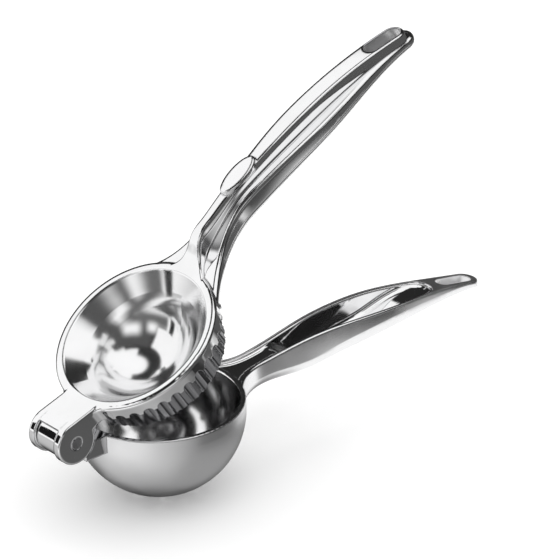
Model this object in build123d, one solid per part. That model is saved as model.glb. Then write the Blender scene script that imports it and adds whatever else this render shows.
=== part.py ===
"""Lever press for lemons: two cast arms that turn on one pin.

The lower arm carries the bowl, the upper arm the press dish. Lengths are in millimetres.
X runs from the bowl to the handle tips, Y along the hinge pin and Z up. The origin is the
middle of the small flat under the bowl, and the upper arm stands open as it does at rest.
"""
import os
from math import acos, atan2, cos, hypot, radians, sin, sqrt, tan

from build123d import *

# Bowl of the lower arm
BOWL_RADIUS = 34.0
BOWL_WALL = 2.3
RIM_RISE = 4.4
RIM_EDGE = 0.6
FOOT_RADIUS = 7.0
DRAIN_RADIUS = 1.9
DRAIN_OFFSET = 3.5
DRAIN_RING_STEP = 6.0
DRAIN_RINGS = 2
DRAINS_PER_RING = 6

# Press dish of the upper arm, depths measured down from its rim
RIM_GAP = 0.35
PRESS_OVERHANG = 0.5
PRESS_EDGE = 1.4
SKIRT_HEIGHT = 6.6
RIM_WIDTH = 4.2
DISH_CHAMFER = 0.5
CONE_DEPTH = 8.5
CONE_ANGLE = 44.0
RIDGE_BLEND = 20.0
DISH_DEPTH = 23.0
DISH_WALL = 3.0
TOOTH_GAP = 1.7
TOOTH_WALL = 2.6
TOOTH_HEIGHT = 12.4
TOOTH_COUNT = 36
FLUTE_RADIUS = 2.3
FLUTE_DEPTH = 0.8
ARCH_RADIUS = 2.1
NOTCH_RADIUS = 1.2

# Hinge
HINGE_OFFSET = 13.5
HINGE_RISE = 2.1
KNUCKLE_RADIUS = 7.7
KNUCKLE_WIDTH = 11.5
KNUCKLE_EDGE = 0.8
EAR_RADIUS = 8.7
EAR_WIDTH = 3.35
EAR_BLEND = 0.8
EAR_EDGE = 0.5
SIDE_GAP = 0.3
TURN_GAP = 0.45
LUG_WIDTH = 18.0
LUG_DEPTH = 7.6
LUG_SETBACK = 4.5
LUG_BLEND = 1.0
TONGUE_LIP = 1.4
TONGUE_BLEND = 4.0
TONGUE_DIP = 10.0
PIN_RADIUS = 2.6
PIN_CLEARANCE = 0.05
PIN_CHAMFER = 0.35

# Leaf outline shared by the two handles. A reach is measured along the handle from the
# neck, and an inset back from the piece's own end
NECK_LENGTH = 16.0
NECK_HALF = 6.2
LEAF_REACH = 58.0
LEAF_HALF = 10.2
HANDLE_LENGTH = 114.2
TIP_RADIUS = 5.2
SLOT_INSET = 11.5
SLOT_LENGTH = 17.0
SLOT_WIDTH = 6.8

# Lower handle, an open trough
LOWER_CROWN_REACH = 35.0
LOWER_CROWN_RISE = 4.4
LOWER_ARCH = 340.0
TROUGH_NECK_DEPTH = 11.5
TROUGH_DEPTH = 15.6
TROUGH_TIP_DEPTH = 3.2
TROUGH_DEEPEST_REACH = 22.0
TROUGH_WALL = 1.9
TROUGH_FLOOR = 2.6
TROUGH_START_REACH = 5.0
TROUGH_START_RAMP = 22.0
TROUGH_END_INSET = 25.2
TROUGH_END_RAMP = 34.0
NECK_DISH = 1.6
CHANNEL_BLEND = 2.5
LIP_EDGE = 0.8
LIP_STEP = 0.7
LIP_STEP_DEPTH = 0.8
LIP_STEP_BLEND = 0.4
BELLY_SHARE = 0.8
TROUGH_BLEND = 20.0
TROUGH_ROOT_INSET = 4.0

# Upper handle, a stepped beam that is hollow below
UPPER_CROWN_REACH = 20.0
UPPER_CROWN_RISE = 7.1
UPPER_ARCH = 300.0
BEAM_ROOT_INSET = 6.5
BEAM_BLEND = 50.0
BEAM_DEPTH = 10.0
BEAM_TIP_DEPTH = 5.0
BEAM_EDGE = 1.5
BEAM_BELLY = 3.0
BEAM_WALL = 3.4
BEAM_ROOF = 2.6
HOLLOW_LEAD = 2.0
HOLLOW_END_INSET = 23.2
RIB_ROOT_INSET = 3.0
RIB_RAMP_LENGTH = 14.5
RIB_RAMP_RISE = 9.3
RIB_SWELL_LENGTH = 43.5
RIB_SWELL_RISE = 3.0
RIB_CROWN_REACH = 35.0
RIB_ARCH = 190.0
RIB_SEAT = 1.0
RIB_BLEND = 18.0
RIB_NECK_REACH = 2.0
RIB_NECK_HALF = 2.4
RIB_HALF = 4.5
RIB_TIP_INSET = 2.2
RIB_EDGE = 0.9
PAD_REACH = 22.0
PAD_LENGTH = 19.0
PAD_WIDTH = 8.8
PAD_RISE = 1.2
PAD_THICKNESS = 2.4
PAD_EDGE = 0.4

# Pose at rest: angle between the two rims
OPEN_ANGLE = 33.0

# Places worked out from the sizes above
BOWL_Z = sqrt(BOWL_RADIUS**2 - FOOT_RADIUS**2)
BOWL_INNER = BOWL_RADIUS - BOWL_WALL
RIM_Z = BOWL_Z + RIM_RISE
DRAIN_FIRST_RING = FOOT_RADIUS + DRAIN_OFFSET
PRESS_RADIUS = BOWL_RADIUS + PRESS_OVERHANG
DISH_RADIUS = PRESS_RADIUS - RIM_WIDTH
SKIRT_Z = RIM_Z + RIM_GAP
PRESS_Z = SKIRT_Z + SKIRT_HEIGHT
TOOTH_RADIUS = BOWL_INNER - TOOTH_GAP
CONE_FOOT = DISH_RADIUS - CONE_DEPTH * tan(radians(CONE_ANGLE))
CAP_HEIGHT = DISH_DEPTH - CONE_DEPTH
CAP_RADIUS = (CONE_FOOT**2 + CAP_HEIGHT**2) / (2 * CAP_HEIGHT)
CAP_Z = PRESS_Z - DISH_DEPTH + CAP_RADIUS
HINGE_REACH = BOWL_RADIUS + HINGE_OFFSET
HINGE_X = -HINGE_REACH
HINGE_Z = RIM_Z + HINGE_RISE
EAR_INNER = KNUCKLE_WIDTH / 2 + SIDE_GAP
EAR_OUTER = EAR_INNER + EAR_WIDTH
LUG_REACH = HINGE_REACH - LUG_SETBACK
NECK_X = BOWL_RADIUS + NECK_LENGTH
LEAF_X = NECK_X + LEAF_REACH
TIP_X = NECK_X + HANDLE_LENGTH
TIP_START = TIP_X - TIP_RADIUS
SLOT_X = TIP_X - SLOT_INSET
LOWER_CROWN_X = NECK_X + LOWER_CROWN_REACH
TROUGH_ROOT = BOWL_RADIUS - TROUGH_ROOT_INSET
TROUGH_DEEPEST_X = NECK_X + TROUGH_DEEPEST_REACH
TROUGH_START = NECK_X + TROUGH_START_REACH
TROUGH_END = TIP_X - TROUGH_END_INSET
UPPER_CROWN_X = NECK_X + UPPER_CROWN_REACH
BEAM_ROOT = PRESS_RADIUS - BEAM_ROOT_INSET
HOLLOW_START = NECK_X - HOLLOW_LEAD
HOLLOW_END = TIP_X - HOLLOW_END_INSET
RIB_ROOT = PRESS_RADIUS - RIB_ROOT_INSET
RIB_RAMP_X = RIB_ROOT + RIB_RAMP_LENGTH
RIB_SWELL_X = RIB_ROOT + RIB_SWELL_LENGTH
RIB_CROWN_X = NECK_X + RIB_CROWN_REACH
RIB_NECK_X = NECK_X + RIB_NECK_REACH
PAD_X = NECK_X + PAD_REACH
FAR = 400.0
SIDE_STEPS = 20
ON_TOP = (Align.CENTER, Align.CENTER, Align.MIN)
TO_HINGE = (Align.MAX, Align.CENTER)


def ease(x, x0, x1):
    """Smooth step from 0 at x0 to 1 at x1."""
    t = min(max((x - x0) / (x1 - x0), 0.0), 1.0)
    return t * t * (3 - 2 * t)


def blend(x, round_radius, half, radius):
    """Extra half width where an arc of the given radius joins a neck to a round body."""
    start = sqrt((round_radius + radius) ** 2 - (half + radius) ** 2)
    reach = max(start - x, 0.0)
    return radius - sqrt(radius**2 - reach**2)


def leaf_half(x):
    """Half width of both handles, from the neck to the tip."""
    swell = ease(x, NECK_X, LEAF_X) * (LEAF_HALF - NECK_HALF)
    narrow = ease(x, LEAF_X, TIP_START) * (LEAF_HALF - TIP_RADIUS)
    return NECK_HALF + swell - narrow


def arch_drop(x, crown_x, radius):
    """Fall of a handle's long arch below its crown."""
    return max(x - crown_x, 0.0) ** 2 / (2 * radius)


def lower_top(x):
    """Height of the lower handle's lips."""
    rise = ease(x, BOWL_RADIUS, LOWER_CROWN_X) * LOWER_CROWN_RISE
    return RIM_Z + rise - arch_drop(x, LOWER_CROWN_X, LOWER_ARCH)


def trough_half(x):
    """Half width of the lower handle with its flare into the bowl."""
    return leaf_half(x) + blend(max(x, TROUGH_ROOT), BOWL_RADIUS, NECK_HALF, TROUGH_BLEND)


def trough_depth(x):
    """Depth of the lower handle from its lips to its belly."""
    grow = ease(x, NECK_X, TROUGH_DEEPEST_X) * (TROUGH_DEPTH - TROUGH_NECK_DEPTH)
    t = max(x - TROUGH_DEEPEST_X, 0.0) / (TIP_X - TROUGH_DEEPEST_X)
    taper = (TROUGH_DEPTH - TROUGH_TIP_DEPTH) * min(t, 1.0) ** 1.5
    below = TROUGH_NECK_DEPTH - RIM_RISE
    return TROUGH_NECK_DEPTH + grow - taper + blend(max(x, TROUGH_ROOT), BOWL_RADIUS, below, TROUGH_BLEND)


def upper_ledge(x):
    """Height of the ledge beside the upper handle's rib, arm closed."""
    rise = ease(x, BEAM_ROOT, UPPER_CROWN_X) * (UPPER_CROWN_RISE + PRESS_EDGE)
    return PRESS_Z - PRESS_EDGE + rise - arch_drop(x, UPPER_CROWN_X, UPPER_ARCH)


def beam_half(x):
    """Half width of the upper handle with its flare into the press rim."""
    return leaf_half(x) + blend(x, PRESS_RADIUS, NECK_HALF, BEAM_BLEND)


def beam_depth(x):
    """Height of the upper handle's side walls."""
    root_depth = SKIRT_HEIGHT - PRESS_EDGE
    grow = ease(x, BEAM_ROOT, UPPER_CROWN_X) * (BEAM_DEPTH - root_depth)
    t = max(x - UPPER_CROWN_X, 0.0) / (TIP_X - UPPER_CROWN_X)
    return root_depth + grow - t * (BEAM_DEPTH - BEAM_TIP_DEPTH)


def rib_half(x):
    """Half width of the raised rib on the upper handle."""
    swell = ease(x, RIB_NECK_X, LEAF_X) * (RIB_HALF - RIB_NECK_HALF)
    return RIB_NECK_HALF + swell + blend(x, PRESS_RADIUS - PRESS_EDGE, RIB_NECK_HALF, RIB_BLEND)


def rib_top(x):
    """Height of the rib: a ramp up from the press rim, then a long arch to the tip."""
    ramp = RIB_RAMP_RISE * ease(x, RIB_ROOT, RIB_RAMP_X)
    swell = RIB_SWELL_RISE * ease(x, RIB_ROOT, RIB_SWELL_X)
    return PRESS_Z + ramp + swell - arch_drop(x, RIB_CROWN_X, RIB_ARCH)


def steps(first, last, count):
    """Evenly spaced values from first to last, both included."""
    return [first + (last - first) * i / count for i in range(count + 1)]


def plan(half, root_x, end_x, end_radius):
    """Flat outline seen from above: two curved sides and a round tip."""
    sides = [(x, half(x)) for x in steps(root_x, end_x - end_radius, 12)]
    left = Spline(*sides)
    right = Spline(*[(x, -y) for x, y in sides])
    tip = ThreePointArc(left @ 1, (end_x, 0), right @ 1)
    root = Line(right @ 0, left @ 0)
    return make_face(left + tip + right + root)


def slab(top, bottom, first, last):
    """Wide block between two height curves, as seen from the side."""
    upper = Spline(*[(x, top(x)) for x in steps(first, last, SIDE_STEPS)])
    lower = Spline(*[(x, bottom(x)) for x in steps(first, last, SIDE_STEPS)])
    ends = Line(upper @ 0, lower @ 0) + Line(upper @ 1, lower @ 1)
    return extrude(Plane.XZ * make_face(upper + lower + ends), FAR, both=True)


def bowl_space(radius):
    """Ball about the bowl's centre, carried on upwards as a shaft."""
    ball = Pos(0, 0, BOWL_Z) * Sphere(radius)
    return ball + Pos(0, 0, BOWL_Z) * Cylinder(radius, FAR, align=ON_TOP)


def bowl():
    """Round bowl with a straight rim and a small flat to stand on."""
    shell = bowl_space(BOWL_RADIUS) & Box(FAR, FAR, RIM_Z, align=ON_TOP)
    shell -= bowl_space(BOWL_INNER)
    shell = fillet(shell.faces().sort_by(Axis.Z)[-1].edges(), RIM_EDGE)
    hole = Cylinder(DRAIN_RADIUS, BOWL_Z)
    holes = []
    for ring in range(DRAIN_RINGS):
        radius = DRAIN_FIRST_RING + ring * DRAIN_RING_STEP
        holes += PolarLocations(radius, (ring + 1) * DRAINS_PER_RING) * hole
    return shell - holes


def trough_section(x):
    """Cross-section of the lower handle: flat lips above a round belly."""
    half = trough_half(x)
    depth = trough_depth(x)
    outline = Pos(0, lower_top(x) - depth / 2) * Rectangle(2 * half, depth)
    corners = outline.vertices().sort_by(Axis.Y)[:2]
    outline = fillet(corners, BELLY_SHARE * min(half, depth))
    return Plane((x, 0, 0), x_dir=(0, 1, 0), z_dir=(1, 0, 0)) * outline


def tip_cut():
    """What is cut away to round the lower handle's tip."""
    beyond = (Align.MIN, Align.CENTER, Align.CENTER)
    block = Pos(TIP_START, 0, 0) * Box(FAR, FAR, FAR, align=beyond)
    return block - Pos(TIP_START, 0, 0) * Cylinder(TIP_RADIUS, FAR)


def hang_slot():
    """Long hole near the tip to hang the press from a hook."""
    return extrude(Pos(SLOT_X, 0) * SlotOverall(SLOT_LENGTH, SLOT_WIDTH), FAR)


def channel_floor(x):
    """Height of the channel's floor: shallow at the neck, deep in the belly, up again at the end."""
    deep = trough_depth(x) - TROUGH_FLOOR - NECK_DISH
    fall = ease(x, TROUGH_START, TROUGH_START + TROUGH_START_RAMP)
    climb = ease(x, TROUGH_END - TROUGH_END_RAMP, TROUGH_END)
    return lower_top(x) - NECK_DISH - deep * fall * (1 - climb)


def channel(wall, floor, corner):
    """Cut along the top of the lower handle, a wall's width inside its outline."""
    end = TROUGH_END + TROUGH_WALL - wall
    outline = plan(lambda x: trough_half(x) - wall, BOWL_RADIUS - BOWL_WALL, end, TIP_RADIUS)
    fill = slab(lambda x: lower_top(x) + TROUGH_DEPTH, floor, TROUGH_ROOT, end + TIP_RADIUS)
    cut = extrude(outline, FAR) & fill
    return fillet(cut.faces().sort_by(Axis.Z)[0].edges().sort_by(Axis.X)[1:], corner)


def trough_hollow():
    """Channel in the lower handle, with a fine step inside its lips."""
    step = channel(TROUGH_WALL - LIP_STEP, lambda x: lower_top(x) - LIP_STEP_DEPTH, LIP_STEP_BLEND)
    return channel(TROUGH_WALL, channel_floor, CHANNEL_BLEND) + step - bowl_space(BOWL_RADIUS)


def rounded_top(body, radius):
    """Round the edges of a handle's top face, all but the one at its root."""
    top = body.faces().sort_by(Axis.Z)[-1]
    return fillet(top.edges().sort_by(Axis.X)[1:], radius)


def lower_handle():
    """Leaf-shaped trough that tapers to the tip."""
    stations = steps(TROUGH_ROOT - TROUGH_WALL, NECK_X, 5)
    stations += steps(NECK_X, TIP_X + TROUGH_WALL, 10)[1:]
    body = loft([trough_section(x) for x in stations])
    body = rounded_top(body - tip_cut(), LIP_EDGE)
    return body - trough_hollow() - hang_slot()


def hinge_rod(radius, length):
    """Cylinder along the hinge axis."""
    return Pos(HINGE_X, 0, HINGE_Z) * Rot(90, 0, 0) * Cylinder(radius, length)


def side_pair(outline, inner, outer):
    """Side outline made solid on both sides, between two distances from the middle."""
    wide = extrude(Plane.XZ * outline, outer, both=True)
    return wide - Box(FAR, 2 * inner, FAR)


def lug():
    """Knuckle of the hinge and the wide web that joins it to the bowl."""
    knuckle = hinge_rod(KNUCKLE_RADIUS, KNUCKLE_WIDTH)
    knuckle = fillet(knuckle.edges().filter_by(GeomType.CIRCLE), KNUCKLE_EDGE)
    outline = Circle(BOWL_RADIUS - BOWL_WALL / 2) + Rectangle(LUG_REACH, LUG_WIDTH, align=TO_HINGE)
    outline = fillet(outline.vertices().sort_by(Axis.X)[2:4], LUG_BLEND)
    web = Pos(0, 0, RIM_Z - LUG_DEPTH) * extrude(outline, LUG_DEPTH)
    ear_space = hinge_rod(EAR_RADIUS + TURN_GAP, FAR) - Box(FAR, KNUCKLE_WIDTH, FAR)
    web -= ear_space
    return web + knuckle


def make_lower_arm():
    """Bowl, handle and knuckle in one casting."""
    core = bowl_space(BOWL_RADIUS - BOWL_WALL / 2)
    arm = bowl() + (lower_handle() - core) + (lug() - core)
    return arm - hinge_rod(PIN_RADIUS + PIN_CLEARANCE, FAR)


def rim_plate():
    """Flat rim of the press with its skirt, drawn out into the hinge tongue."""
    reach = HINGE_REACH - EAR_RADIUS
    outline = Circle(PRESS_RADIUS) + Rectangle(reach, 2 * EAR_OUTER, align=TO_HINGE)
    outline = fillet(outline.vertices().sort_by(Axis.X)[2:4], TONGUE_BLEND)
    plate = Pos(0, 0, SKIRT_Z) * extrude(outline, SKIRT_HEIGHT)
    return fillet(plate.faces().sort_by(Axis.Z)[-1].edges(), PRESS_EDGE)


def dish_space():
    """Hollow of the press dish: a cone above a round bottom, with a soft ridge between them."""
    bottom = (0, PRESS_Z - DISH_DEPTH)
    ridge = (CONE_FOOT, PRESS_Z - CONE_DEPTH)
    edge = (DISH_RADIUS, PRESS_Z - DISH_CHAMFER)
    mouth = (DISH_RADIUS + 2 * DISH_CHAMFER, PRESS_Z + DISH_CHAMFER)
    half_turn = atan2(CONE_FOOT, CAP_Z - ridge[1]) / 2
    middle = (CAP_RADIUS * sin(half_turn), CAP_Z - CAP_RADIUS * cos(half_turn))
    cap = ThreePointArc(bottom, middle, ridge)
    outline = make_face(cap + Polyline(ridge, edge, mouth, (0, mouth[1]), bottom))
    outline = fillet(outline.vertices().sort_by_distance(ridge)[0], RIDGE_BLEND)
    return revolve(Plane.XZ * outline, Axis.Z)


def toothed_wall():
    """Fluted wall below the skirt, its lower edge notched into round teeth."""
    flutes = PolarLocations(TOOTH_RADIUS + FLUTE_RADIUS - FLUTE_DEPTH, TOOTH_COUNT) * Circle(FLUTE_RADIUS)
    outline = Circle(TOOTH_RADIUS) - flutes - Circle(TOOTH_RADIUS - TOOTH_WALL)
    wall = Pos(0, 0, SKIRT_Z - TOOTH_HEIGHT) * extrude(outline, TOOTH_HEIGHT)
    notch = Rot(0, 90, 0) * Cylinder(NOTCH_RADIUS, 2 * TOOTH_WALL + FLUTE_RADIUS)
    between = PolarLocations(TOOTH_RADIUS, TOOTH_COUNT, 180 / TOOTH_COUNT)
    return wall - Pos(0, 0, SKIRT_Z - TOOTH_HEIGHT) * between * notch


def press():
    """Press dish: rim, scalloped skirt, toothed wall and round underside."""
    dome = Pos(0, 0, CAP_Z) * Sphere(CAP_RADIUS + DISH_WALL)
    dome &= Box(FAR, FAR, PRESS_Z - PRESS_EDGE, align=ON_TOP)
    plate = rim_plate()
    scallop = Rot(0, 90, 0) * Cylinder(ARCH_RADIUS, PRESS_RADIUS - TOOTH_RADIUS, align=ON_TOP)
    plate -= Pos(0, 0, SKIRT_Z) * PolarLocations(TOOTH_RADIUS, TOOTH_COUNT) * scallop
    return plate + dome + toothed_wall() - dish_space()


def ears():
    """Two ears that hold the pin, and the tongue that carries them."""
    root_x = -CONE_FOOT
    bend = (PRESS_EDGE - PRESS_RADIUS, PRESS_Z)
    away_x = bend[0] - HINGE_X
    away_z = bend[1] - HINGE_Z
    lean = atan2(away_z, away_x) + acos(EAR_RADIUS / hypot(away_x, away_z))
    touch = (HINGE_X + EAR_RADIUS * cos(lean), HINGE_Z + EAR_RADIUS * sin(lean))
    web = Polygon(
        (root_x, PRESS_Z), bend, touch, (HINGE_X, HINGE_Z), (HINGE_X, SKIRT_Z), (root_x, SKIRT_Z), align=None
    )
    web = fillet(web.vertices().sort_by_distance(bend)[0], TONGUE_DIP)
    outline = web + Pos(HINGE_X, HINGE_Z) * Circle(EAR_RADIUS)
    corner = outline.vertices().sort_by_distance((HINGE_X + EAR_RADIUS, SKIRT_Z))[0]
    pair = side_pair(fillet(corner, EAR_BLEND), EAR_INNER, EAR_OUTER)
    faces = pair.faces().sort_by(Axis.Y)
    pair = fillet(faces[0].edges() + faces[-1].edges(), EAR_EDGE)
    tongue = extrude(Plane.XZ * outline, EAR_INNER, both=True)
    tongue -= hinge_rod(KNUCKLE_RADIUS + TURN_GAP, FAR)
    tongue -= Pos(HINGE_X - TONGUE_LIP, 0, 0) * Box(FAR, FAR, FAR, align=(Align.MAX, Align.CENTER, Align.CENTER))
    tongue -= Pos(0, 0, SKIRT_Z) * Box(FAR, FAR, FAR, align=(Align.CENTER, Align.CENTER, Align.MAX))
    return pair + tongue


def beam():
    """Side walls and ledge of the upper handle."""
    outline = plan(beam_half, BEAM_ROOT, TIP_X, TIP_RADIUS)
    block = slab(upper_ledge, lambda x: upper_ledge(x) - beam_depth(x), BEAM_ROOT, TIP_X + TIP_RADIUS)
    body = rounded_top(extrude(outline, FAR) & block, BEAM_EDGE)
    belly = body.faces().sort_by(Axis.Z)[0]
    return fillet(belly.edges().sort_by(Axis.X)[1:], BEAM_BELLY)


def beam_hollow():
    """Hollow under the upper handle."""
    outline = plan(lambda x: leaf_half(x) - BEAM_WALL, HOLLOW_START, HOLLOW_END, TIP_RADIUS)
    block = slab(
        lambda x: upper_ledge(x) - BEAM_ROOF,
        lambda x: upper_ledge(x) - 2 * BEAM_DEPTH,
        HOLLOW_START - TIP_RADIUS,
        HOLLOW_END + TIP_RADIUS,
    )
    return extrude(outline, FAR) & block


def rib():
    """Raised rib that runs from the press rim to the handle's tip."""
    outline = plan(rib_half, RIB_ROOT, TIP_X - RIB_TIP_INSET, RIB_HALF)
    block = slab(rib_top, lambda x: upper_ledge(x) - RIB_SEAT, RIB_ROOT, TIP_X)
    return rounded_top(extrude(outline, FAR) & block, RIB_EDGE)


def pad():
    """Bare oval pad on the rib."""
    body = extrude(Ellipse(PAD_LENGTH / 2, PAD_WIDTH / 2), PAD_THICKNESS)
    body = fillet(body.edges().group_by(Axis.Z)[-1], PAD_EDGE)
    return Pos(PAD_X, 0, rib_top(PAD_X) + PAD_RISE - PAD_THICKNESS) * body


def opened(solid):
    """Turn a piece of the upper arm about the pin, from rims parallel to the pose at rest."""
    return Pos(HINGE_X, 0, HINGE_Z) * Rot(0, -OPEN_ANGLE, 0) * Pos(-HINGE_X, 0, -HINGE_Z) * solid


def make_upper_arm():
    """Press dish, handle and ears in one casting."""
    handle = beam() - beam_hollow() + rib() + pad() - hang_slot()
    arm = press() + handle + ears()
    arm -= dish_space()
    arm -= hinge_rod(PIN_RADIUS, FAR)
    return opened(arm)


def make_hinge_pin():
    """Plain pin, flush with the ears."""
    pin = hinge_rod(PIN_RADIUS, 2 * EAR_OUTER)
    return opened(chamfer(pin.edges().filter_by(GeomType.CIRCLE), PIN_CHAMFER))


os.makedirs("parts", exist_ok=True)
export_step(make_lower_arm(), "parts/lower_arm.step")
export_step(make_upper_arm(), "parts/upper_arm.step")
export_step(make_hinge_pin(), "parts/hinge_pin.step")
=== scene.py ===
import math

import bpy
from mathutils import Matrix, Vector

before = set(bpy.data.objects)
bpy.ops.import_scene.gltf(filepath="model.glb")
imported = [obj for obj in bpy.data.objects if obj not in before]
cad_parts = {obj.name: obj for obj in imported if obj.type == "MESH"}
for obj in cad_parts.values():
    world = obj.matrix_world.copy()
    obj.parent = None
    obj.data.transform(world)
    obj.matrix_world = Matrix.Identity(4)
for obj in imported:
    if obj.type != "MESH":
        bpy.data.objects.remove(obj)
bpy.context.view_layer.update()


# The lower arm is one plated casting: the drained bowl, its trough-shaped
# handle and the hinge lug. Its inside and lips are buffed to a mirror, and
# the outsides that the hand holds keep a soft satin finish.
MM = 0.001
BOWL_CENTRE = Vector((0.0, 0.0, 33.2716)) * MM
BOWL_INSIDE = 32.9 * MM
BOWL_OUTWARD = (12 * MM, 30 * MM)
LUG_END = -36.0 * MM
LUG_FADE = 3 * MM
HANDLE_START = 38.0 * MM
HANDLE_FADE = 8 * MM
SIDE_LEAN = (0.3, 0.6)
BELLY_LEAN = (-0.2, -0.5)
SOFT_LINE = 0.4 * MM
LOWER_ROUNDING = 0.7 * MM


def figure(tree, operation, first, second=None, third=None):
    node = tree.nodes.new("ShaderNodeMath")
    node.operation = operation
    for socket, value in zip(node.inputs, (first, second, third)):
        if value is None:
            continue
        if isinstance(value, (int, float)):
            socket.default_value = value
        else:
            tree.links.new(value, socket)
    return node.outputs[0]


def arrow(tree, operation, first, second):
    node = tree.nodes.new("ShaderNodeVectorMath")
    node.operation = operation
    for socket, value in zip(node.inputs, (first, second)):
        if isinstance(value, (tuple, Vector)):
            socket.default_value = value
        else:
            tree.links.new(value, socket)
    return node


def fade(tree, value, low, high, out_low=0.0, out_high=1.0):
    node = tree.nodes.new("ShaderNodeMapRange")
    node.interpolation_type = "SMOOTHSTEP"
    tree.links.new(value, node.inputs["Value"])
    for name, number in (("From Min", low), ("From Max", high),
                         ("To Min", out_low), ("To Max", out_high)):
        node.inputs[name].default_value = number
    return node.outputs[0]


def blend(tree, part, first, second):
    node = tree.nodes.new("ShaderNodeMix")
    tree.links.new(part, node.inputs["Factor"])
    for name, value in (("A", first), ("B", second)):
        if isinstance(value, (int, float)):
            node.inputs[name].default_value = value
        else:
            tree.links.new(value, node.inputs[name])
    return node.outputs[0]


def speckle(tree, place, scale, detail=2.0):
    node = tree.nodes.new("ShaderNodeTexNoise")
    node.inputs["Scale"].default_value = scale
    node.inputs["Detail"].default_value = detail
    tree.links.new(place, node.inputs["Vector"])
    return node.outputs["Fac"]


def split(tree, vector):
    node = tree.nodes.new("ShaderNodeSeparateXYZ")
    tree.links.new(vector, node.inputs[0])
    return node.outputs["X"], node.outputs["Y"], node.outputs["Z"]


def bare_metal(name):
    material = bpy.data.materials.new(name)
    material.use_nodes = True
    tree = material.node_tree
    tree.nodes["Principled BSDF"].inputs["Metallic"].default_value = 1.0
    where = tree.nodes.new("ShaderNodeTexCoord").outputs
    return material, tree, where


# Edges are painted darker, a painted shade for the dark lines that rounded
# edges mirror, and made a little rougher, where the softened face leans away
# from the true one, given as cosines. The clouds are the uneven rub of the buffing mop.
EDGE_SAMPLES = 24
EDGE_LEAN = (0.995, 0.9)
EDGE_ROUGHNESS = 0.05
TEETH_SHADE_GAIN = 1.6
CLOUD_SCALE = 70.0
CLOUD_DETAIL = 4.0
CLOUD_RANGE = (0.3, 0.7)
CLOUD_TONE = (0.95, 1.0)
CLOUD_RUB = (0.85, 1.15)
MICRON = 1e-6


def finish_metal(tree, place, rounding, roughness, microns, bright, shade_colour, painted_teeth_shade=None):
    shader = tree.nodes["Principled BSDF"]
    softened = tree.nodes.new("ShaderNodeBevel")
    softened.samples = EDGE_SAMPLES
    if isinstance(rounding, float):
        softened.inputs["Radius"].default_value = rounding
    else:
        tree.links.new(rounding, softened.inputs["Radius"])
    true_face = tree.nodes.new("ShaderNodeNewGeometry").outputs["Normal"]
    lean = arrow(tree, "DOT_PRODUCT", softened.outputs[0], true_face).outputs["Value"]
    painted_shade_and_wear = fade(tree, lean, *EDGE_LEAN)
    # The toothed wall gets the painted shade too, and a little more roughness.
    if painted_teeth_shade is not None:
        teeth_shade = figure(tree, "MULTIPLY", painted_teeth_shade, TEETH_SHADE_GAIN)
        painted_shade_and_wear = figure(tree, "MAXIMUM", painted_shade_and_wear, teeth_shade)
    clouds = speckle(tree, place, CLOUD_SCALE, CLOUD_DETAIL)
    # Painted shade: the base colour goes from the bright tint to the shade tint along edges.
    tint = tree.nodes.new("ShaderNodeMix")
    tint.data_type = "RGBA"
    tint.clamp_factor = False
    tree.links.new(painted_shade_and_wear, tint.inputs["Factor"])
    tint.inputs["A"].default_value = (*bright, 1)
    tint.inputs["B"].default_value = (*shade_colour, 1)
    toned = arrow(tree, "SCALE", tint.outputs["Result"], (0, 0, 0))
    tree.links.new(fade(tree, clouds, *CLOUD_RANGE, *CLOUD_TONE), toned.inputs["Scale"])
    tree.links.new(toned.outputs[0], shader.inputs["Base Color"])
    rubbed = figure(tree, "MULTIPLY", roughness, fade(tree, clouds, *CLOUD_RANGE, *CLOUD_RUB))
    tree.links.new(figure(tree, "MULTIPLY_ADD", painted_shade_and_wear, EDGE_ROUGHNESS, rubbed),
                   shader.inputs["Roughness"])
    relief = tree.nodes.new("ShaderNodeBump")
    relief.inputs["Distance"].default_value = MICRON
    relief.inputs["Strength"].default_value = 1.0
    tree.links.new(microns, relief.inputs["Height"])
    tree.links.new(softened.outputs[0], relief.inputs["Normal"])
    tree.links.new(relief.outputs[0], shader.inputs["Normal"])


SLOT_MIDDLE = 152.7 * MM
SLOT_STRAIGHT = 10.2 * MM
SLOT_WIDTH = 6.8 * MM
SLOT_EDGE = (SLOT_WIDTH / 2 + 0.02 * MM, SLOT_WIDTH / 2 + 0.1 * MM)


def in_slot(tree, along, across):
    off_middle = figure(tree, "ABSOLUTE", figure(tree, "SUBTRACT", along, SLOT_MIDDLE))
    past_straight = figure(tree, "MAXIMUM",
                           figure(tree, "SUBTRACT", off_middle, SLOT_STRAIGHT / 2), 0.0)
    from_line = figure(tree, "SQRT", figure(tree, "MULTIPLY_ADD", past_straight, past_straight,
                                            figure(tree, "MULTIPLY", across, across)))
    return fade(tree, from_line, *SLOT_EDGE, 1.0, 0.0)


BRIGHT_METAL = (0.95, 0.95, 0.955)
# The shade tint that paints edges and the toothed wall darker: painted shade.
PAINTED_SHADE_METAL = (0.62, 0.62, 0.63)
MIRROR_ROUGHNESS = 0.05
HOLLOW_ROUGHNESS = 0.13
HANDLE_ROUGHNESS = 0.2
SLOT_ROUGHNESS = 0.3
SATIN_ROUGHNESS = 0.34
GRAIN_SCALE = 2600.0
GRAIN_MICRONS = 2.0
STROKE_SCALE = (60.0, 2400.0, 2400.0)
STROKE_MICRONS = 0.35
lower_metal, tree, where = bare_metal("lower arm metal")
place, normal = where["Object"], where["Normal"]
from_centre = arrow(tree, "SUBTRACT", place, BOWL_CENTRE).outputs[0]
outward = arrow(tree, "DOT_PRODUCT", from_centre, normal).outputs["Value"]
from_middle = arrow(tree, "LENGTH", from_centre, (0, 0, 0)).outputs["Value"]
along, across, _ = split(tree, place)
_, lean_y, lean_z = split(tree, normal)
bowl_skin = figure(tree, "MULTIPLY", fade(tree, outward, *BOWL_OUTWARD),
                   fade(tree, along, LUG_END - LUG_FADE, LUG_END))
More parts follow.
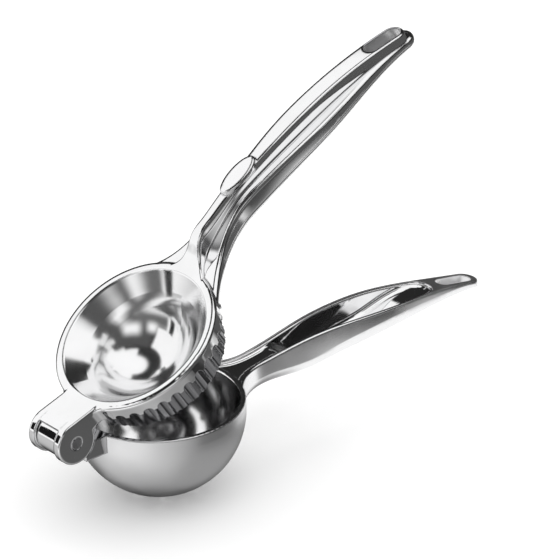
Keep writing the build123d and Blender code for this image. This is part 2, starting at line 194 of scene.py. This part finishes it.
sideways = figure(tree, "MULTIPLY", figure(tree, "SIGN", across), lean_y)
on_outside = figure(tree, "MAXIMUM", fade(tree, sideways, *SIDE_LEAN),
                    fade(tree, lean_z, *BELLY_LEAN))
on_handle = fade(tree, along, HANDLE_START, HANDLE_START + HANDLE_FADE)
handle_skin = figure(tree, "MULTIPLY", on_handle, on_outside)
in_bowl = fade(tree, from_middle, BOWL_INSIDE, BOWL_INSIDE + SOFT_LINE, 1.0, 0.0)
polish = blend(tree, in_bowl, MIRROR_ROUGHNESS, HOLLOW_ROUGHNESS)
polish = blend(tree, handle_skin, polish, HANDLE_ROUGHNESS)
polish = blend(tree, in_slot(tree, along, across), polish, SLOT_ROUGHNESS)
polish = blend(tree, bowl_skin, polish, SATIN_ROUGHNESS)
grain = figure(tree, "MULTIPLY", speckle(tree, place, GRAIN_SCALE),
               figure(tree, "MULTIPLY", bowl_skin, GRAIN_MICRONS))
strokes = speckle(tree, arrow(tree, "MULTIPLY", place, STROKE_SCALE).outputs[0], 1.0)
relief = figure(tree, "MULTIPLY_ADD", strokes, STROKE_MICRONS, grain)
# Its edges get the painted shade from finish_metal.
finish_metal(tree, place, LOWER_ROUNDING, polish, relief, BRIGHT_METAL, PAINTED_SHADE_METAL)
lower_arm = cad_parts["lower_arm"]
lower_arm.data.materials.clear()
lower_arm.data.materials.append(lower_metal)


# The hinge pin is a short ground steel rod with chamfered ends, pressed into
# the upper arm's ears so that the lower arm's knuckle turns on it.
PIN_STEEL = (0.62, 0.62, 0.63)
# The pin's edges are painted darker with this tint: painted shade.
PIN_SHADE_COLOUR = (0.32, 0.32, 0.33)
PIN_ROUNDING = 0.3 * MM
PIN_ROUGHNESS = (0.14, 0.22)
GRINDING_SCALE = (300.0, 5200.0, 300.0)
GRINDING_RANGE = (0.3, 0.7)
GRINDING_MICRONS = 0.6
pin_metal, tree, where = bare_metal("pin steel")
place = where["Object"]
ground = speckle(tree, arrow(tree, "MULTIPLY", place, GRINDING_SCALE).outputs[0], 1.0)
finish_metal(tree, place, PIN_ROUNDING, fade(tree, ground, *GRINDING_RANGE, *PIN_ROUGHNESS),
             figure(tree, "MULTIPLY", ground, GRINDING_MICRONS), PIN_STEEL, PIN_SHADE_COLOUR)
hinge_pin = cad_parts["hinge_pin"]
hinge_pin.data.materials.clear()
hinge_pin.data.materials.append(pin_metal)


# The upper arm is the second plated casting: the press dish with its toothed
# skirt, two ears for the pin and the ribbed handle. It is buffed bright, with
# the mop's fine rings and soft ripple in the dish. Its toothed wall is painted
# darker, a painted shade for the dark it mirrors, and is a little rougher.
HINGE = Vector((-47.5, 0.0, 39.7716)) * MM
OPEN_ANGLE = math.radians(33.0)
RIM_TOP = 44.6216 * MM
DISH_RADIUS = 30.4 * MM
DISH_LIP = RIM_TOP - 0.2 * MM
SKIRT_RADIUS = 35.0 * MM
SKIRT_EDGE = 1 * MM
SKIRT_TOP = (RIM_TOP - 4 * MM, RIM_TOP - 2.5 * MM)
TEETH_INSIDE = 27.3 * MM
TEETH_OUTSIDE = 30.2 * MM
TEETH_TOP = 38.0 * MM
FINE_LINE = 0.2 * MM
SKIRT_ROUNDING = 0.2 * MM
RIM_ROUNDING = 1.0 * MM
BEAM_ROUNDING = 1.5 * MM
BEAM_START = (50 * MM, 60 * MM)
RING_SCALE = 1800.0
RING_MICRONS = 1.5
RIPPLE_SCALE = 75.0
RIPPLE_DETAIL = 1.0
RIPPLE_MICRONS = 45.0
upper_metal, tree, where = bare_metal("upper arm metal")
place = where["Object"]
shut = tree.nodes.new("ShaderNodeVectorRotate")
shut.rotation_type = "Y_AXIS"
tree.links.new(place, shut.inputs["Vector"])
shut.inputs["Center"].default_value = HINGE
shut.inputs["Angle"].default_value = OPEN_ANGLE
along, across, up = split(tree, shut.outputs[0])
from_axis = figure(tree, "SQRT", figure(tree, "MULTIPLY_ADD", along, along,
                                        figure(tree, "MULTIPLY", across, across)))
in_dish = figure(tree, "MULTIPLY",
                 fade(tree, from_axis, DISH_RADIUS, DISH_RADIUS + SOFT_LINE, 1.0, 0.0),
                 fade(tree, up, DISH_LIP - SOFT_LINE, DISH_LIP, 1.0, 0.0))
polish = blend(tree, in_dish, MIRROR_ROUGHNESS, HOLLOW_ROUGHNESS)
polish = blend(tree, in_slot(tree, along, across), polish, SLOT_ROUGHNESS)
rings = speckle(tree, from_axis, RING_SCALE)
ripple = speckle(tree, place, RIPPLE_SCALE, RIPPLE_DETAIL)
strokes = speckle(tree, arrow(tree, "MULTIPLY", shut.outputs[0], STROKE_SCALE).outputs[0], 1.0)
in_dish_relief = figure(tree, "MULTIPLY_ADD", ripple, RIPPLE_MICRONS,
                        figure(tree, "MULTIPLY", rings, RING_MICRONS))
relief = blend(tree, in_dish, figure(tree, "MULTIPLY", strokes, STROKE_MICRONS), in_dish_relief)
on_skirt = figure(tree, "MULTIPLY",
                  fade(tree, from_axis, SKIRT_RADIUS, SKIRT_RADIUS + SKIRT_EDGE, 1.0, 0.0),
                  fade(tree, up, *SKIRT_TOP, 1.0, 0.0))
rounding = blend(tree, on_skirt, fade(tree, along, *BEAM_START, RIM_ROUNDING, BEAM_ROUNDING),
                 SKIRT_ROUNDING)
# The toothed wall, painted darker as a painted shade and made a little rougher.
in_ring = figure(tree, "MULTIPLY",
                 fade(tree, from_axis, TEETH_INSIDE - FINE_LINE, TEETH_INSIDE),
                 fade(tree, from_axis, TEETH_OUTSIDE, TEETH_OUTSIDE + FINE_LINE, 1.0, 0.0))
on_teeth = figure(tree, "MULTIPLY", in_ring,
                  fade(tree, up, TEETH_TOP - SOFT_LINE, TEETH_TOP, 1.0, 0.0))
finish_metal(tree, place, rounding, polish, relief, BRIGHT_METAL, PAINTED_SHADE_METAL, on_teeth)
upper_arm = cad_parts["upper_arm"]
upper_arm.data.materials.clear()
upper_arm.data.materials.append(upper_metal)


# The floor is a wide sheet of pale paper. It keeps the soft shadow, and a
# little glow that only the camera sees makes it as white as the backdrop.
bpy.context.scene.view_settings.view_transform = "Standard"
FLOOR_HALF = 1.5
FLOOR_DROP = 0.5 * MM
PAPER_COLOUR = (0.95, 0.95, 0.95, 1)
PAPER_ROUGHNESS = 0.9
PAPER_GLOW = 0.24
floor_mesh = bpy.data.meshes.new("floor")
floor_mesh.from_pydata(
    [(-FLOOR_HALF, -FLOOR_HALF, 0), (FLOOR_HALF, -FLOOR_HALF, 0),
     (FLOOR_HALF, FLOOR_HALF, 0), (-FLOOR_HALF, FLOOR_HALF, 0)],
    [], [(0, 1, 2, 3)])
floor = bpy.data.objects.new("floor", floor_mesh)
bpy.context.collection.objects.link(floor)
floor.location.z = -FLOOR_DROP
floor.visible_glossy = False
paper = bpy.data.materials.new("pale paper")
paper.use_nodes = True
tree = paper.node_tree
paper_shader = tree.nodes["Principled BSDF"]
paper_shader.inputs["Base Color"].default_value = PAPER_COLOUR
paper_shader.inputs["Roughness"].default_value = PAPER_ROUGHNESS
glow = tree.nodes.new("ShaderNodeEmission")
glow.inputs["Color"].default_value = (1, 1, 1, 1)
to_camera = tree.nodes.new("ShaderNodeLightPath").outputs["Is Camera Ray"]
tree.links.new(figure(tree, "MULTIPLY", to_camera, PAPER_GLOW), glow.inputs["Strength"])
both = tree.nodes.new("ShaderNodeAddShader")
tree.links.new(paper_shader.outputs[0], both.inputs[0])
tree.links.new(glow.outputs[0], both.inputs[1])
tree.links.new(both.outputs[0], tree.nodes["Material Output"].inputs["Surface"])
floor_mesh.materials.append(paper)


# The light tent is white cloth all round, which lights the floor, mostly from
# overhead. Polished metal needs something dark to show its shape, so it sees
# the tent with black and grey cloths hung in it.
world = bpy.data.worlds.new("light tent")
bpy.context.scene.world = world
world.use_nodes = True
tree = world.node_tree
tree.nodes.clear()
DEGREES = 180 / math.pi
way_x, way_y, way_z = split(tree, tree.nodes.new("ShaderNodeTexCoord").outputs["Generated"])
bearing = figure(tree, "MULTIPLY", figure(tree, "ARCTAN2", way_y, way_x), DEGREES)
height = figure(tree, "MULTIPLY", figure(tree, "ARCSINE", way_z), DEGREES)


# A cloth's turn and lift are the middle and half the width of its bearing and
# of its height in degrees, and its edges fade over the soft width each way.
def cloth(light, turn, lift, level, soft):
    cover = []
    turned = figure(tree, "WRAP", figure(tree, "SUBTRACT", bearing, turn[0]), 180, -180)
    lifted = figure(tree, "SUBTRACT", height, lift[0])
    for off_middle, half in ((turned, turn[1]), (lifted, lift[1])):
        cover.append(fade(tree, figure(tree, "ABSOLUTE", off_middle),
                          half - soft, half + soft, 1.0, 0.0))
    return blend(tree, figure(tree, "MULTIPLY", *cover), light, level)


WHITE_CLOTH = 1.0
OFF_WHITE = 0.85
PALE_GREY = 0.55
MID_GREY = 0.32
DARK_GREY = 0.14
BLACK_FELT = 0.09
BLACK_CLOTH = 0.08
BLACK_VELVET = 0.05
DARK_ROOM = 0.02
ROOF_EDGE = (66, 73)
FIRST_LOOK, SECOND_LOOK, FOURTH_LOOK = 1.0, 2.0, 4.0
DEEP_LEVEL = 0.2
ON_FLOOR_LEVEL = 0.1
SIDE_LEVEL = 0.5
rays = tree.nodes.new("ShaderNodeLightPath").outputs
mirrored = rays["Glossy Depth"]
for_ledge = fade(tree, mirrored, FIRST_LOOK, SECOND_LOOK, BLACK_CLOTH, WHITE_CLOTH)
light = fade(tree, height, *ROOF_EDGE, DARK_ROOM, WHITE_CLOTH)
light = cloth(light, turn=(-50, 93), lift=(75, 18), level=WHITE_CLOTH, soft=3)
light = cloth(light, turn=(-52, 47), lift=(52, 11), level=WHITE_CLOTH, soft=4)
light = cloth(light, turn=(0, 400), lift=(-47, 45), level=MID_GREY, soft=3)
light = cloth(light, turn=(185, 75), lift=(-35, 33), level=PALE_GREY, soft=20)
light = cloth(light, turn=(184, 36), lift=(-20, 22), level=WHITE_CLOTH, soft=22)
light = cloth(light, turn=(60, 32), lift=(-50, 36), level=BLACK_VELVET, soft=18)
light = cloth(light, turn=(-22, 55), lift=(-14, 19), level=BLACK_FELT, soft=5)
light = cloth(light, turn=(-122, 46), lift=(23, 28), level=BLACK_CLOTH, soft=6)
light = cloth(light, turn=(-70, 13), lift=(36, 6), level=OFF_WHITE, soft=3)
light = cloth(light, turn=(-97, 27), lift=(44, 6), level=for_ledge, soft=3)
light = cloth(light, turn=(180, 44), lift=(-2, 10), level=DARK_GREY, soft=7)
light = cloth(light, turn=(143.5, 40), lift=(29, 18), level=WHITE_CLOTH, soft=1)
light = cloth(light, turn=(134.5, 31), lift=(2, 13), level=WHITE_CLOTH, soft=3)
light = cloth(light, turn=(85, 20), lift=(45.5, 4), level=WHITE_CLOTH, soft=1)
light = cloth(light, turn=(-125, 17), lift=(19, 10), level=WHITE_CLOTH, soft=9)
light = cloth(light, turn=(-165, 9), lift=(14, 8), level=WHITE_CLOTH, soft=7)
hung = tree.nodes.new("ShaderNodeBackground")
tree.links.new(light, hung.inputs["Color"])
deep = fade(tree, mirrored, SECOND_LOOK, FOURTH_LOOK, 1.0, DEEP_LEVEL)
off_metal = fade(tree, rays["Diffuse Depth"], 0.0, 1.0, 1.0, ON_FLOOR_LEVEL)
tree.links.new(figure(tree, "MULTIPLY", deep, off_metal), hung.inputs["Strength"])
white = tree.nodes.new("ShaderNodeBackground")
white.inputs["Color"].default_value = (1, 1, 1, 1)
overhead = figure(tree, "MULTIPLY_ADD", way_z, way_z, SIDE_LEVEL)
tree.links.new(blend(tree, rays["Is Camera Ray"], overhead, 1.0), white.inputs["Strength"])
choose = tree.nodes.new("ShaderNodeMixShader")
tree.links.new(rays["Is Glossy Ray"], choose.inputs[0])
tree.links.new(white.outputs[0], choose.inputs[1])
tree.links.new(hung.outputs[0], choose.inputs[2])
tree.links.new(choose.outputs[0], tree.nodes.new("ShaderNodeOutputWorld").inputs[0])


# Two cards stand close to the object, seen only in the metal: a black one that
# draws the dark band on the knuckle, and a white one that lies under the
# handles and is shaded along the lines that their side walls mirror.
DARK_CARD = [(-131, 57, 36), (-113, 75, 36), (-113, 75, 92), (-131, 57, 92)]
WHITE_CARD = [(60, -240, 1), (400, -240, 1), (400, 90, 1), (60, 90, 1)]
CARD_BLACK = 0.01


def card(name, corners):
    mesh = bpy.data.meshes.new(name)
    mesh.from_pydata([Vector(corner) * MM for corner in corners], [], [(0, 1, 2, 3)])
    board = bpy.data.materials.new(name)
    board.use_nodes = True
    tree = board.node_tree
    tree.nodes.clear()
    lamp = tree.nodes.new("ShaderNodeEmission")
    lamp.inputs["Strength"].default_value = CARD_BLACK
    tree.links.new(lamp.outputs[0], tree.nodes.new("ShaderNodeOutputMaterial").inputs[0])
    mesh.materials.append(board)
    panel = bpy.data.objects.new(name, mesh)
    bpy.context.collection.objects.link(panel)
    panel.visible_camera = False
    panel.visible_diffuse = False
    panel.visible_shadow = False
    return tree, lamp


# Each shade is where it starts and ends, and the strengths at those two places.
LOWER_SLANT = -0.34
LOWER_WALL = (-116 * MM, -84 * MM, 0.07, 1.0)
LOWER_BELLY = (-50 * MM, -36 * MM, 0.0, 1.0)
NECK_BY_BELLY = (66 * MM, 86 * MM, 0.2, 1.0)
NECK_BY_WALL = (88 * MM, 116 * MM, 0.15, 1.0)
WALL_STRETCH = 12.5
WALL_START = -0.75
WALL_LEAST = 0.05
WALL_BEND = -60.2 * MM
WALL_SHIFT = -153 * MM
UPPER_WALL = (-8 * MM, 1 * MM, 0.1, 0.95)
UPPER_END = (-135 * MM, -95 * MM, 1.0, 0.0)
UPPER_TIP = (240 * MM, 390 * MM, 1.0, 0.45)
UPPER_NECK = (136 * MM, 180 * MM, 0.3, 1.0)
NECK_PAST_WALL = (3 * MM, 9 * MM, 0.0, 1.0)
NECK_END = (-152 * MM, -142 * MM, 1.0, 0.0)
NECK_LEVEL = 0.1
card("dark card by the hinge", DARK_CARD)
tree, lamp = card("white card under the handles", WHITE_CARD)
along, across, _ = split(tree, tree.nodes.new("ShaderNodeTexCoord").outputs["Object"])
slanted = figure(tree, "MULTIPLY_ADD", along, LOWER_SLANT, across)
past_neck = blend(tree, fade(tree, across, *LOWER_BELLY), fade(tree, along, *NECK_BY_WALL),
                  fade(tree, along, *NECK_BY_BELLY))
by_lower = figure(tree, "MULTIPLY", fade(tree, slanted, *LOWER_WALL), past_neck)
stretch = figure(tree, "MAXIMUM",
                 figure(tree, "MULTIPLY_ADD", along, WALL_STRETCH, WALL_START), WALL_LEAST)
wall_line = figure(tree, "MULTIPLY_ADD", figure(tree, "LOGARITHM", stretch, math.e),
                   WALL_BEND, WALL_SHIFT)
off_wall = figure(tree, "SUBTRACT", across, wall_line)
by_upper = fade(tree, off_wall, *UPPER_WALL)
for value, shade in ((across, UPPER_END), (along, UPPER_TIP), (along, UPPER_NECK)):
    by_upper = figure(tree, "MULTIPLY", by_upper, fade(tree, value, *shade))
by_neck = figure(tree, "MULTIPLY", fade(tree, off_wall, *NECK_PAST_WALL),
                 fade(tree, across, *NECK_END))
by_upper = blend(tree, by_neck, by_upper, NECK_LEVEL)
tree.links.new(figure(tree, "MAXIMUM", by_lower, by_upper), lamp.inputs["Strength"])


# The camera stands at the photograph's viewing angle, a long way back. Its
# place is in millimetres from the bowl's centre, its focal length in pixels.
AZ, EL, ROLL = math.radians(-39.405), math.radians(27.413), math.radians(-1.785)
DISTANCE, SLIDE, RISE = 2140.94, 48.444, 48.502
FOCAL, PICTURE_WIDTH = 5533.4, 560
SENSOR_WIDTH = 36.0
FAR_LIMIT = 20.0
back = Vector((math.sin(AZ) * math.cos(EL), -math.cos(AZ) * math.cos(EL), math.sin(EL)))
level_right = (-back).cross(Vector((0, 0, 1))).normalized()
level_up = level_right.cross(-back)
right = math.cos(ROLL) * level_right + math.sin(ROLL) * level_up
upward = -math.sin(ROLL) * level_right + math.cos(ROLL) * level_up
spot = (back * DISTANCE + SLIDE * level_right + RISE * level_up) * MM + BOWL_CENTRE
lens = bpy.data.cameras.new("camera")
lens.sensor_width = SENSOR_WIDTH
lens.lens = FOCAL / PICTURE_WIDTH * SENSOR_WIDTH
lens.clip_end = FAR_LIMIT
camera = bpy.data.objects.new("camera", lens)
bpy.context.collection.objects.link(camera)
camera.matrix_world = Matrix(((right.x, upward.x, back.x, spot.x),
                              (right.y, upward.y, back.y, spot.y),
                              (right.z, upward.z, back.z, spot.z),
                              (0, 0, 0, 1)))
bpy.context.scene.camera = camera
